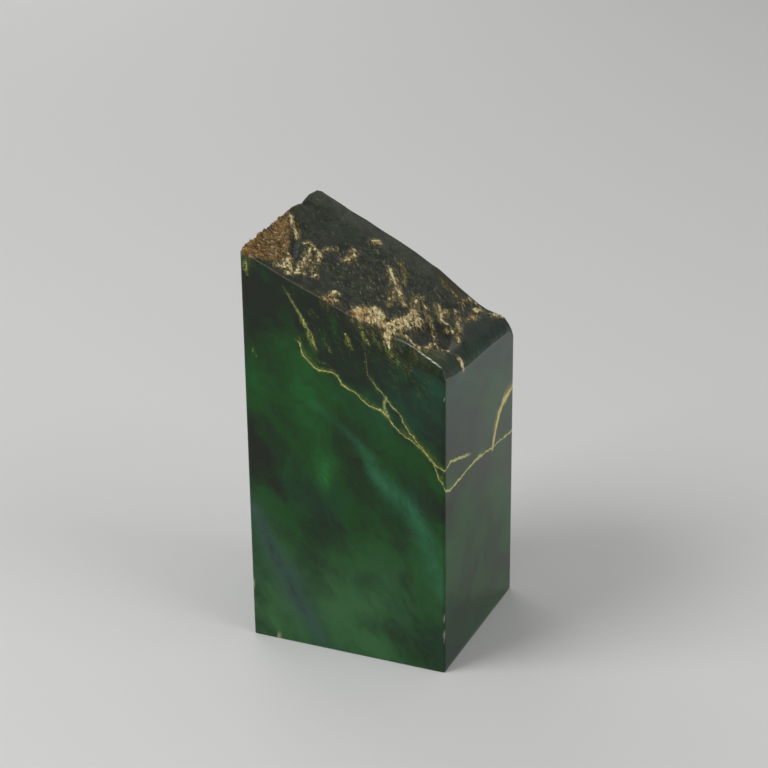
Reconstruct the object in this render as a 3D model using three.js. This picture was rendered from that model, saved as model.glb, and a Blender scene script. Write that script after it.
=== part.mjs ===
// Block of deep green nephrite jade: four sawn and polished sides, a flat base,
// and a natural weathered top that slopes down from the left end to the right.
// Millimetres, +Z up. X runs along the wide front face, Y from front to back.
// The origin is the centre of the base.
import * as THREE from 'three';
import { mergeVertices } from 'three/addons/utils/BufferGeometryUtils.js';

// ---- driving dimensions ----------------------------------------------------
const WIDTH = 90;            // along the front face
const DEPTH = 81;            // front to back
const CORNER_R = 1.2;        // rounding of the four upright edges
const BASE_EASE = 0.5;       // eased edge round the base
const CELL = 2.15;           // spacing of the raw top's facets

// Height of the sloping top above the base, [x, z] pairs.
const FRONT_CREST = [[-45, 179], [-37.6, 175.6], [-28.3, 171.2], [-20.3, 167.6], [-7.5, 162.3],
  [6, 156.2], [18.6, 151], [25.2, 148.4], [36, 143], [45, 138]];
const BACK_CREST = [[-45, 179.5], [-42.4, 178.2], [-38.6, 176.3], [-31, 172.2], [-23.4, 168.8],
  [-15.8, 164.8], [-8.3, 161.2], [-0.8, 157.2], [6.7, 152.6], [10.5, 150.6], [20, 143.6],
  [29.1, 137.3], [32.9, 135.6], [40.3, 134], [45, 132]];

// Chipped bevel at the right end of the front top edge: height of its lower edge.
const BEVEL_FOOT = [[16, 155], [19, 151.4], [20.4, 148.2], [23.8, 142.9], [29.9, 139.5], [38.5, 137.6], [42.5, 136.2], [45, 134.2]];
const BEVEL_RISE = 1.2;      // rise per millimetre of depth

// Radii of the worn top edges, as [coordinate along the edge, radius].
const RIGHT_EDGE_R = [[-40.5, 4.6], [-15, 4.6], [15, 3.4], [32, 3.6], [40.5, 6]];
const BACK_EDGE_R = [[-45, 3.6], [-36, 1.9], [10, 1.7], [30, 2.6], [45, 6]];
const LEFT_EDGE_R = 1.3;
const FRONT_EASE = 0.55;

// Swell of the rind along the left top edge, [y, height].
const LEFT_SWELL = [[-40.5, -0.4], [-36, 0.9], [-24, 1.1], [-16, 1.6], [-4, 1.9], [8.4, 3.2], [14, 2.6],
  [18, 1.7], [22, 2.7], [26, 3.4], [34, 2.7], [38, 1], [40.5, 0]];

// Groove between the brown rind at the left corner and the glassy slope, [y, x].
const GROOVE = [[-41, -27.5], [-33, -28.5], [-22.5, -31], [-10.5, -35.3], [-0.6, -38.5], [10.3, -42.2], [19, -45.5], [41, -60]];
const GROOVE_DEPTH = 1.5;
const GROOVE_WIDTH = 1.9;

// Glassy hollow near the right end of the top, with a raised crust lip round its front.
const HOLLOW = { x: 32.2, y: -15.5, rx: 8.2, ry: 15.5, depth: 2.1 };

// Crust ledges and chips, [x, y, reach in x, reach in y, height].
const CRUST = [[9.5, -31.5, 4.6, 5.2, 1.5], [15, -29.5, 3, 4, 1.8], [17.5, -22, 2.6, 6, 1.5], [22, -30, 3, 7, 1.3],
  [17.5, -9, 2.2, 6.5, 1.2], [3, 8, 2.4, 9, 0.9], [-6.5, -35.5, 2.8, 3.6, 1], [-25, -29, 3.2, 4.4, 1.4],
  [-31, -19, 3, 4.4, 1.1], [-22.5, -21, 2.4, 3.6, 1], [-27, -7, 2.6, 2.6, 0.9], [-15, 3, 2.2, 4, 0.8],
  [-10.5, 22, 2.6, 4, 0.7], [31, 31, 4, 5, 1], [40, 36, 3, 3, 0.7], [14, 36, 6, 3, 0.6], [24, 2, 2.4, 7, 0.8]];

// Long break line on the right shoulder; beyond it the surface falls away to the back.
const SHOULDER = { x0: 24, y0: 29.7, x1: 41, y1: -8.2, height: 1.1 };

// ---- helpers ---------------------------------------------------------------
function along(table, t) {
  if (t <= table[0][0]) return table[0][1];
  for (let i = 1; i < table.length; i++) {
    if (t <= table[i][0]) {
      const [a, u] = table[i - 1];
      const [b, v] = table[i];
      return u + (v - u) * (t - a) / (b - a);
    }
  }
  return table[table.length - 1][1];
}
const clamp = (t, a, b) => Math.min(b, Math.max(a, t));
const smooth = (a, b, t) => { const s = clamp((t - a) / (b - a), 0, 1); return s * s * (3 - 2 * s); };
const bell = (d) => Math.exp(-d * d);

// Smooth, repeatable unevenness about one unit high.
function uneven(x, y) {
  return 0.45 * Math.sin(0.31 * x + 0.17 * y + 1.1) * Math.cos(0.23 * y - 0.11 * x + 0.4)
    + 0.3 * Math.sin(0.73 * x - 0.41 * y + 2.3)
    + 0.25 * Math.sin(1.31 * y + 0.57 * x + 0.7) * Math.cos(1.07 * x - 0.3 * y);
}
function grain(x, y) {
  return Math.sin(2.13 * x + 1.37 * y + 0.9) * Math.cos(1.71 * y - 1.93 * x + 2.1);
}
const edgeDrop = (d, r) => (d >= r ? 0 : r - Math.sqrt(Math.max(0, r * r - (r - d) * (r - d))));

// ---- height of the raw top -------------------------------------------------
function topHeight(x, y) {
  const hw = WIDTH / 2;
  const hd = DEPTH / 2;
  const t = clamp((y + hd) / DEPTH, 0, 1);
  const s = 0.5 * t + 0.5 * t * t * (3 - 2 * t);
  let z = along(FRONT_CREST, x) * (1 - s) + along(BACK_CREST, x) * s;

  const gx = along(GROOVE, y);
  const rind = 1 - smooth(-1.5, 1.2, x - gx);
  z += along(LEFT_SWELL, y) * Math.exp(-(x + hw) / 7);
  z += rind * (0.5 + 0.4 * uneven(1.6 * x, 1.6 * y) + 0.28 * grain(x, y)) * smooth(0, 3, y + hd);
  z -= GROOVE_DEPTH * bell((x - gx - 0.6) / GROOVE_WIDTH) * smooth(-38, -20, y);

  for (const [cx, cy, rx, ry, h] of CRUST) {
    const dx = (x - cx) / rx;
    const dy = (y - cy) / ry;
    const q = dx * dx + dy * dy;
    if (q < 6) z += h * Math.exp(-q * 1.1) * (0.8 + 0.35 * grain(x * 1.1, y * 0.9));
  }

  const hx = (x - HOLLOW.x) / HOLLOW.rx;
  const hy = (y - HOLLOW.y) / HOLLOW.ry;
  const hq = Math.sqrt(hx * hx + hy * hy);
  z -= HOLLOW.depth * (1 - smooth(0.55, 1.05, hq));
  z += 0.5 * bell((hq - 1.12) / 0.14) * (1 - smooth(-22, -8, y));

  const sx = SHOULDER.x1 - SHOULDER.x0;
  const sy = SHOULDER.y1 - SHOULDER.y0;
  const sl = Math.hypot(sx, sy);
  const side = ((x - SHOULDER.x0) * sy - (y - SHOULDER.y0) * sx) / sl;
  const run = ((x - SHOULDER.x0) * sx + (y - SHOULDER.y0) * sy) / sl;
  z += SHOULDER.height * bell(side / 2.6) * smooth(-6, 4, run) * (1 - smooth(sl - 4, sl + 5, run));

  const inner = smooth(1, 6, Math.min(x + hw, hw - x, y + hd, hd - y));
  z += 0.42 * uneven(x, y) * inner;

  z -= edgeDrop(hw - x, along(RIGHT_EDGE_R, y));
  z -= edgeDrop(hd - y, along(BACK_EDGE_R, x));
  z -= edgeDrop(x + hw, LEFT_EDGE_R);
  z = Math.min(z, along(BEVEL_FOOT, x) + BEVEL_RISE * (y + hd) + (x < 16 ? 40 : 0));
  z -= FRONT_EASE * (1 - smooth(0, 0.9, y + hd));
  return z;
}

// ---- mesh ------------------------------------------------------------------
function lines(half) {
  const off = [0, 0.45 * CORNER_R, CORNER_R, 2 * CORNER_R];
  const start = -half + off[3];
  const count = Math.round((2 * half - 2 * off[3]) / CELL);
  const out = off.slice(0, 3).map((o) => -half + o);
  for (let i = 0; i <= count; i++) out.push(start + (2 * half - 2 * off[3]) * i / count);
  for (const o of off.slice(0, 3).reverse()) out.push(half - o);
  return out;
}

function buildBlock() {
  const xs = lines(WIDTH / 2);
  const ys = lines(DEPTH / 2);
  const nx = xs.length;
  const ny = ys.length;
  const ARC = [Math.PI / 4, Math.PI / 8, 0];

  // Plan position of a grid point, with the four corners rounded.
  function plan(i, j) {
    const ei = Math.min(i, nx - 1 - i);
    const ej = Math.min(j, ny - 1 - j);
    let x = xs[i];
    let y = ys[j];
    if ((ei === 0 && ej <= 2) || (ej === 0 && ei <= 2)) {
      const sx = Math.sign(x);
      const sy = Math.sign(y);
      const a = ei === 0 ? ARC[ej] : Math.PI / 2 - ARC[ei];
      x = sx * (WIDTH / 2 - CORNER_R + CORNER_R * Math.cos(a));
      y = sy * (DEPTH / 2 - CORNER_R + CORNER_R * Math.sin(a));
    }
    return [x, y];
  }

  const tri = [];
  const quad = (a, b, c, d) => { tri.push(...a, ...b, ...c, ...a, ...c, ...d); };

  const top = [];
  for (let i = 0; i < nx; i++) {
    top.push([]);
    for (let j = 0; j < ny; j++) {
      const [x, y] = plan(i, j);
      top[i].push([x, y, topHeight(x, y)]);
    }
  }
  for (let i = 0; i < nx - 1; i++) {
    for (let j = 0; j < ny - 1; j++) {
      const a = top[i][j];
      const b = top[i + 1][j];
      const c = top[i + 1][j + 1];
      const d = top[i][j + 1];
      if (Math.abs(a[2] - c[2]) <= Math.abs(b[2] - d[2])) quad(a, b, c, d);
      else tri.push(...b, ...c, ...d, ...b, ...d, ...a);
    }
  }

  // Rim of the top, counter-clockwise seen from above.
  const rim = [];
  for (let i = 0; i < nx - 1; i++) rim.push(top[i][0]);
  for (let j = 0; j < ny - 1; j++) rim.push(top[nx - 1][j]);
  for (let i = nx - 1; i > 0; i--) rim.push(top[i][ny - 1]);
  for (let j = ny - 1; j > 0; j--) rim.push(top[0][j]);

  const kx = (WIDTH / 2 - BASE_EASE) / (WIDTH / 2);
  const ky = (DEPTH / 2 - BASE_EASE) / (DEPTH / 2);
  const foot = rim.map(([x, y]) => [x, y, BASE_EASE]);
  const sole = rim.map(([x, y]) => [x * kx, y * ky, 0]);
  const n = rim.length;
  for (let k = 0; k < n; k++) {
    const m = (k + 1) % n;
    quad(foot[k], foot[m], rim[m], rim[k]);
    quad(sole[k], sole[m], foot[m], foot[k]);
    tri.push(0, 0, 0, ...sole[m], ...sole[k]);
  }

  const geo = new THREE.BufferGeometry();
  geo.setAttribute('position', new THREE.Float32BufferAttribute(tri, 3));
  const welded = mergeVertices(geo, 1e-4);
  welded.computeVertexNormals();
  return welded;
}

// ---- scene graph -----------------------------------------------------------
const jade = new THREE.MeshStandardMaterial({
  name: 'jade_block', color: new THREE.Color('#173f1c'), roughness: 0.36, metalness: 0,
});
const block = new THREE.Mesh(buildBlock(), jade);
block.name = 'jade_block';

const jadeGroup = new THREE.Group();
jadeGroup.name = 'raw_jade_block';
jadeGroup.add(block);

export default jadeGroup;
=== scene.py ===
import bpy
import math
import numpy as np
from mathutils import Matrix, Vector


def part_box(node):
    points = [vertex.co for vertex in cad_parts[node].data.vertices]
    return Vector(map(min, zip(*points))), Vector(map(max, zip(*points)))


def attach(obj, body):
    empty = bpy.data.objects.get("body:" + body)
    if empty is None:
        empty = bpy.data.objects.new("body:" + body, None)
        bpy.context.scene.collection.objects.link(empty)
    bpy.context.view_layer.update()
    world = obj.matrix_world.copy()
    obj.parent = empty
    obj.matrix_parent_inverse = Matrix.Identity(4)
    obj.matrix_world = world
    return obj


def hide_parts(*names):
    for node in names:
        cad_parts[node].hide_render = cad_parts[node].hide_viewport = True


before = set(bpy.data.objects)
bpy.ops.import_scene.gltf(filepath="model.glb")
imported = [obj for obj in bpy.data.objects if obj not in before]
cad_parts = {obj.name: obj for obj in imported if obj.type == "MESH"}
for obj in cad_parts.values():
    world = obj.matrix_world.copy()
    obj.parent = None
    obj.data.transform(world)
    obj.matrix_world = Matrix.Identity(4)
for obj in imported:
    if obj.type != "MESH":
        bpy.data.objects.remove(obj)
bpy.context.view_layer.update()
box_lo, box_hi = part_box("jade_block")

# Everything below is laid out in millimetres on the block as built: width, depth and the
# centre of the base are read from the frame, and MM turns a millimetre into scene units.
MM = (box_hi.x - box_lo.x) / 90.0
HW = 45.0
HD = (box_hi.y - box_lo.y) / MM / 2
CX = (box_lo.x + box_hi.x) / 2
CY = (box_lo.y + box_hi.y) / 2
Z0 = box_lo.z
CORNER_R = 1.0
BASE_EASE = 0.6


# ---------------------------------------------------------------- numbers
def hash2(i, j, seed):
    n = (i.astype(np.int64) * 374761393 + j.astype(np.int64) * 668265263 + seed * 1442695041) & 0xFFFFFFFF
    n = ((n ^ (n >> 13)) * 1274126177) & 0xFFFFFFFF
    return n ^ (n >> 16)


def noise2(x, y, seed=0):
    """Gradient noise, about -1 to 1."""
    xi, yi = np.floor(x), np.floor(y)
    xf, yf = x - xi, y - yi
    u = xf * xf * xf * (xf * (xf * 6 - 15) + 10)
    v = yf * yf * yf * (yf * (yf * 6 - 15) + 10)

    def g(dx, dy):
        a = hash2(xi + dx, yi + dy, seed) * (2 * math.pi / 4294967296.0)
        return np.cos(a) * (xf - dx) + np.sin(a) * (yf - dy)

    n0 = g(0, 0) * (1 - u) + g(1, 0) * u
    n1 = g(0, 1) * (1 - u) + g(1, 1) * u
    return (n0 * (1 - v) + n1 * v) * 1.5


def fbm(x, y, octaves=4, seed=0, gain=0.5):
    out, amp, norm = 0, 1.0, 0.0
    for k in range(octaves):
        out = out + amp * noise2(x * 2**k + 17.3 * k, y * 2**k - 9.1 * k, seed + 101 * k)
        norm += amp
        amp *= gain
    return out / norm


def cells2(x, y, seed=0):
    """Distance to the nearest and second nearest of scattered points."""
    xi, yi = np.floor(x), np.floor(y)
    d1 = np.full(x.shape, 9.0)
    d2 = np.full(x.shape, 9.0)
    for dx in (-1, 0, 1):
        for dy in (-1, 0, 1):
            h = hash2(xi + dx, yi + dy, seed)
            px = xi + dx + (h & 0xFFFF) / 65536.0
            py = yi + dy + ((h >> 16) & 0xFFFF) / 65536.0
            d = np.hypot(px - x, py - y)
            d2 = np.minimum(d2, np.maximum(d1, d))
            d1 = np.minimum(d1, d)
    return d1, d2


def smooth(a, b, t):
    s = np.clip((t - a) / (b - a), 0, 1)
    return s * s * (3 - 2 * s)


def bell(d):
    return np.exp(-d * d)


def along(table, t):
    a = np.array(table, float)
    return np.interp(t, a[:, 0], a[:, 1])


def line_dist(x, y, pts):
    """Distance to a polyline, and how far along it (0 to 1) the nearest point is."""
    best = np.full(x.shape, 1e9)
    where = np.zeros(x.shape)
    pts = [np.array(p, float) for p in pts]
    total = sum(np.hypot(*(b - a)) for a, b in zip(pts, pts[1:])) or 1.0
    done = 0.0
    for a, b in zip(pts, pts[1:]):
        ab = b - a
        L = max(np.hypot(*ab), 1e-6)
        t = np.clip(((x - a[0]) * ab[0] + (y - a[1]) * ab[1]) / (L * L), 0, 1)
        d = np.hypot(x - a[0] - t * ab[0], y - a[1] - t * ab[1])
        near = d < best
        best = np.where(near, d, best)
        where = np.where(near, (done + t * L) / total, where)
        done += L
    return best, where


def inside(x, y, poly):
    """Signed distance to a closed outline, negative inside."""
    d, _ = line_dist(x, y, list(poly) + [poly[0]])
    odd = np.zeros(x.shape, bool)
    n = len(poly)
    for i in range(n):
        x0, y0 = poly[i]
        x1, y1 = poly[(i + 1) % n]
        if y0 == y1:
            continue
        hit = ((y0 > y) != (y1 > y)) & (x < (x1 - x0) * (y - y0) / (y1 - y0) + x0)
        odd ^= hit
    return np.where(odd, -d, d)


# ---------------------------------------------------------------- the raw top
FRONT_CREST = [(-45, 179), (-37.6, 175.6), (-28.3, 171.2), (-20.3, 167.6), (-7.5, 162.3), (6, 156.2),
               (18.6, 151), (25.2, 148.4), (36, 143), (45, 138)]
BACK_CREST = [(-45, 179.5), (-42.4, 178.2), (-38.6, 176.3), (-31, 172.2), (-23.4, 168.8), (-15.8, 164.8),
              (-8.3, 161.2), (-0.8, 157.2), (6.7, 152.6), (10.5, 150.6), (20, 143.6), (29.1, 137.3),
              (32.9, 135.6), (40.3, 134), (45, 132)]
BEVEL_FOOT = [(12, 154.6), (15, 152.4), (18, 150.3), (21, 147.8), (24, 145.0), (27, 142.0), (29.9, 139.9), (38.5, 137.6),
              (42.5, 136.2), (45, 134.2)]
RIGHT_EDGE_R = [(-40.5, 2.4), (-30, 4.2), (-15, 4.6), (15, 3.4), (32, 3.6), (40.5, 6)]
BACK_EDGE_R = [(-45, 3.6), (-36, 1.9), (10, 1.7), (30, 2.6), (45, 6)]
LEFT_SWELL = [(-40.5, -0.4), (-36, 0.9), (-24, 1.1), (-16, 1.6), (-4, 1.9), (8.4, 3.2), (14, 2.6), (18, 1.7),
              (22, 2.7), (26, 3.4), (34, 2.7), (38, 1), (40.5, 0)]
GROOVE = [(-41, -27.5), (-33, -28.5), (-22.5, -31), (-10.5, -35.3), (-0.6, -38.5), (10.3, -42.2), (19, -45.5),
          (41, -60)]

RIND = [(-50, -42), (-50, 9), (-45, 6), (-42, 0.5), (-38.6, -6), (-35, -13.4), (-32.2, -20.4), (-31, -27.6),
        (-32.4, -33), (-35.3, -37.3), (-38, -39.4), (-42, -42)]

# Pale weathered crust: points, width, height, strength.
CRUST = [
    ([(5.4, -38.5), (5.0, -34), (6.6, -29.6), (9.0, -25.6), (12.6, -27.2)], 1.9, 1.2, 1.0),
    ([(7.3, -38.6), (9.9, -36.2), (12.8, -34.8), (16.9, -34.4)], 2.1, 1.3, 1.0),
    ([(9.0, -31), (12.6, -31.5), (15.3, -33)], 2.0, 1.2, 1.0),
    ([(16.6, -35), (17.0, -30.8), (17.6, -26.0), (18.9, -21.5), (19.2, -16.0), (19.0, -11.3), (18.6, -7.3)], 1.3, 1.2, 1.0),
    ([(20.1, -40.5), (19.4, -37.0), (19.6, -31.0), (20.8, -24.8), (22.4, -17.6), (22.2, -11)], 2.0, 0.9, 0.8),
    ([(18.6, -7.3), (15.9, -1.9), (14.8, 4.4), (15.2, 8.4)], 0.7, 0.5, 0.55),
    ([(18.0, 4.2), (20.5, 0.6), (23.2, -3.5), (25.7, -7.1), (27.9, -9.4), (31.1, -17.2)], 0.42, 0.35, 0.5),
    ([(21.8, 11.5), (24.4, 6.3), (27.0, 1.1), (29.6, 1.1)], 0.8, 0.5, 0.75),
    ([(3.0, 19.1), (6.3, 8.6)], 0.5, 0.3, 0.3),
    ([(-1.4, 13.2), (2.0, 7.7), (5.4, 3.2), (9.5, -1.5), (13.5, -7.4)], 0.95, 0.7, 0.7),
    ([(5.4, 3.2), (7.6, -5.5), (10.2, -15.4)], 0.5, 0.3, 0.35),
    ([(-1.7, 25.2), (1.2, 20.2)], 0.4, 0.3, 0.3),
    ([(-7.3, -39.8), (-7.2, -34.6), (-7.4, -30.8), (-5.6, -30.2)], 0.8, 0.7, 0.8),
    ([(-6.6, -39.8), (-5.0, -37.2), (-3.6, -35.6)], 1.1, 0.6, 0.65),
    ([(-30.9, -8.4), (-29.9, -5.1), (-26.3, -7.6), (-23.8, -8.6), (-22.8, -13.0), (-21.3, -14.7)], 0.5, 0.5, 0.8),
    ([(-27.7, -9.8), (-26.4, -14.8), (-25.5, -20.0), (-24.4, -26.5), (-23.8, -31.0)], 0.62, 0.6, 0.75),
    ([(-31.7, -22.0), (-30.1, -25.4), (-26.5, -31.3), (-24.9, -36.3)], 0.95, 0.7, 0.8),
    ([(-31.0, -30.1), (-30.2, -27.7), (-28.5, -33.2), (-30.0, -36.3), (-31.7, -33.5)], 0.6, 0.5, 0.7),
    ([(-23.8, -32.9), (-22.2, -31.2), (-20.9, -29.9)], 0.5, 0.5, 0.8),
    ([(-24.2, -21.6), (-23.7, -16.5), (-20.7, -19.8), (-19.7, -25.1)], 0.55, 0.5, 0.55),
    ([(-17.9, -29.1), (-17.5, -25.8)], 0.6, 0.5, 0.8),
    ([(-25.1, -26.0), (-24.5, -22.0), (-22.9, -24.5)], 0.7, 0.5, 0.6),
    ([(-24.4, -7.3), (-23.5, -1.7), (-21.5, 3.7)], 0.28, 0.15, 0.5),
    ([(-15.6, -2.6), (-14.6, 0.5), (-14.5, 4.8), (-16.6, 9.9)], 0.75, 0.6, 0.75),
    ([(-14.8, 24.9), (-13.5, 28.9), (-11.8, 28.2)], 0.75, 0.5, 0.75),
    ([(-42.4, 2.9), (-40.0, 0.1), (-37.9, -3.0), (-35.6, -6.3)], 0.85, 0.7, 0.85),
    ([(27.1, 17.3), (29.7, 13.5), (31.2, 10.2), (35.3, -0.9), (38.2, -9.0)], 0.5, 0.4, 0.55),
    ([(31.1, -2.7), (33.2, -1.4), (34.3, 1.0)], 0.8, 0.5, 0.6),
    ([(27.9, 22.6), (25.1, 31.2), (26.1, 37.6), (31.2, 34.7), (31.3, 30.2), (32.8, 20.8), (32.2, 14.2)], 0.5, 0.3, 0.45),
    ([(31.1, 30.7), (31.5, 33.1)], 1.2, 0.6, 0.95),
    ([(32.9, 21.4), (32.5, 23.8)], 0.8, 0.4, 0.9),
    ([(37.3, 34.0), (39.4, 35.4), (41.6, 36.4)], 1.3, 0.6, 0.7),
    ([(43.6, -21.8), (44.4, -19.6), (44.3, -21.6)], 0.8, 0.4, 0.9),
    ([(22.6, -31.5), (25.5, -32.6), (29.3, -34.2), (31.4, -34.5), (33.0, -31.5), (31.9, -24.1), (31.9, -20.6),
      (33.5, -21.3), (35.5, -21.5), (39.8, -22.2)], 0.55, 0.5, 0.75),
    ([(24.4, 13.5), (25.4, 9.5), (26.6, 6.0)], 0.5, 0.4, 0.4),
    ([(14.0, 33.0), (18.5, 31.0), (23.0, 30.0)], 0.4, 0.3, 0.3),
]
POOL = [(23.1, -20.5), (23.9, -11.4), (26.1, -4.4), (30.3, 0.4), (34.3, -1.4), (36.0, -8), (39.3, -20.5),
        (35.3, -20.6), (31.9, -19.5), (31.6, -22.8), (32.3, -31.5), (30.3, -33.0), (26.7, -31.1)]
GREEN_GLASS = [(19.5, -38.5), (20.5, -33.5), (29.7, -36.0), (33.5, -31), (34.0, -24.0), (41.3, -24.0), (45, -21),
               (46, -42), (28, -42)]
RIGHT_END = [(35.5, 5), (34.0, 14), (34.5, 23.3), (41.9, 32), (46, 34), (46, -18), (41.7, -16), (38.5, -6)]
BACK_OLIVE = [(8.4, 35.5), (12.5, 41.5), (38, 41.5), (33, 34), (28.9, 33.5), (23.8, 28.6), (19.3, 27.0), (14.1, 31.0)]
FLOW = np.array([0.55, -0.835])  # the way the fibres run, seen from above


def uneven(x, y):
    return (0.45 * np.sin(0.31 * x + 0.17 * y + 1.1) * np.cos(0.23 * y - 0.11 * x + 0.4)
            + 0.55 * fbm(x * 0.13 + 0.05 * y, y * 0.12 - 0.04 * x, 3, 61, 0.5))


def edge_drop(d, r):
    q = np.clip(r - d, 0, None)
    return np.where(d >= r, 0, r - np.sqrt(np.clip(r * r - q * q, 0, None)))


SPECK_ZONE = [(-21, 8.3), (-15, 29), (-3.2, 28.2), (6, 22), (12, 24), (24, 24), (31, 8), (27, -8), (18, -8), (13, -20),
              (2.9, -28.1), (-11.8, -22), (-20, -10)]


def raw_top(x, y):
    """Height of the raw top, and masks of what shows on it, at points in plan."""
    t = np.clip((y + HD) / (2 * HD), 0, 1)
    s = 0.5 * t + 0.5 * t * t * (3 - 2 * t)
    z = along(FRONT_CREST, x) * (1 - s) + along(BACK_CREST, x) * s
    gx = along(GROOVE, y)
    u = x * FLOW[0] + y * FLOW[1]
    v = -x * FLOW[1] + y * FLOW[0]

    # ragged outlines
    wx = x + 0.55 * fbm(x * 0.45, y * 0.45, 3, 11) + 0.28 * noise2(x * 1.7, y * 1.7, 12)
    wy = y + 0.55 * fbm(x * 0.45, y * 0.45, 3, 21) + 0.28 * noise2(x * 1.7, y * 1.7, 22)

    rind = 1 - smooth(-1.2, 0.9, inside(wx, wy, RIND) + 0.8 * noise2(x * 0.6, y * 0.6, 5))
    groove = bell((wx - gx - 0.6) / 1.7) * smooth(-30, -14, y) * (1 - smooth(-1, 7, y))
    pool = 1 - smooth(-1.6, 0.3, inside(wx, wy, POOL))
    glass = 1 - smooth(-1.5, 1.5, inside(wx, wy, GREEN_GLASS) + 0.8 * noise2(x * 0.5, y * 0.5, 6))
    right = 1 - smooth(-1.5, 1.8, inside(wx, wy, RIGHT_END) + 0.8 * noise2(x * 0.5, y * 0.5, 7))
    blue = 0.25 + 0.75 * bell(np.hypot((x + 24) / 13, (y - 18) / 20))
    edge_green = smooth(38.5, 43.8, x + 0.5 * noise2(x * 0.4, y * 0.4, 9))
    olive = 1 - smooth(-2.5, 1.0, inside(wx, wy, BACK_OLIVE) + 1.6 * noise2(x * 0.4, y * 0.4, 8))

    crust = np.zeros(x.shape)
    gold = np.zeros(x.shape)
    lift = np.zeros(x.shape)
    for pts, w, h, k in CRUST:
        xs = [p[0] for p in pts]
        ys = [p[1] for p in pts]
        m = w * 5 + 4
        near = (x > min(xs) - m) & (x < max(xs) + m) & (y > min(ys) - m) & (y < max(ys) + m)
        if not near.any():
            continue
        d, tt = line_dist(wx[near], wy[near], pts)
        taper = 0.6 + 0.4 * np.sin(np.pi * np.clip(tt * 0.9 + 0.05, 0, 1))
        ww = w * taper
        crust[near] = np.maximum(crust[near], k * bell(d / (1.15 * ww + 0.3)))
        gold[near] = np.maximum(gold[near], (0.35 + 0.65 * k) * bell(d / (1.4 * ww + 1.3)))
        lift[near] = np.maximum(lift[near], h * bell(d / (1.1 * ww + 0.35)))

    # relief
    z = z + along(LEFT_SWELL, y) * np.exp(-(x + HW) / 7)
    d1, d2 = cells2(x * 0.62 + 0.4 * noise2(x * 0.8, y * 0.8, 31), y * 0.62 + 0.4 * noise2(x * 0.8, y * 0.8, 32), 33)
    grains = (d2 - d1)
    c1, c2 = cells2(x * 0.3 + 0.5 * noise2(x * 0.5, y * 0.5, 47), y * 0.3 + 0.5 * noise2(x * 0.5, y * 0.5, 48), 49)
    z = z + rind * (-0.2 + 1.6 * fbm(x * 0.2, y * 0.2, 3, 34) + 1.35 * np.clip(c2 - c1, 0, 0.8) + 0.7 * np.clip(grains, 0, 0.7)
                    + 0.45 * fbm(x * 1.0, y * 1.0, 2, 35)) * smooth(0, 3.5, y + HD)
    z = z - 1.5 * groove
    lumps = 0.55 + 1.7 * fbm(u * 0.26, v * 0.6, 3, 36, 0.6) + 0.7 * noise2(x * 0.8, y * 0.8, 37)
    z = z + lift * np.clip(lumps, 0, 1.6)
    specks = 0.4 + 0.6 * (1 - smooth(-5, 2.5, inside(wx, wy, SPECK_ZONE)))
    z = z + 0.22 * specks * np.clip(fbm(u * 0.55, v * 1.2, 2, 46) - 0.12, 0, 1)

    hx, hy = (x - 32.2) / 8.2, (y + 15.5) / 15.5
    hq = np.hypot(hx, hy)
    z = z - 1.5 * (1 - smooth(0.5, 1.1, hq)) - 0.7 * pool

    sx, sy = 17.0, -37.9
    sl = math.hypot(sx, sy)
    side = ((x - 24) * sy - (y - 29.7) * sx) / sl
    run = ((x - 24) * sx + (y - 29.7) * sy) / sl
    side = side + 0.5 * noise2(run * 0.25, 3.3 + 0 * run, 38)
    ridge = np.where(side > 0, bell(side / 3.4), bell(side / 1.5))
    z = z + 1.1 * ridge * smooth(-6, 4, run) * (1 - smooth(sl - 4, sl + 5, run))

    # fibres and ripples of the glassy parts
    inner = smooth(0.6, 5, np.minimum(np.minimum(x + HW, HW - x), np.minimum(y + HD, HD - y)))
    open_glass = (1 - rind) * (1 - 0.6 * crust)
    z = z + (0.42 * uneven(x, y) + 0.10 * fbm(u * 0.14, v * 0.38, 2, 39)) * inner * open_glass
    splinter = smooth(-24, -12, x) * (1 - smooth(26, 34, x)) * smooth(-38, -26, y)
    z = z + 0.26 * fbm(x * 0.31 + 0.25 * v, y * 0.37, 3, 40, 0.55) * inner * splinter * open_glass
    rings = np.hypot(x + 60, y - 2 * 0 - 36)
    arcs = np.sin(rings * 3.4 + 1.5 * noise2(x * 0.2, y * 0.2, 41)) * smooth(9, 14, y) * (1 - smooth(-37, -33, x + 0.1 * y))
    z = z + 0.07 * arcs * inner

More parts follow.
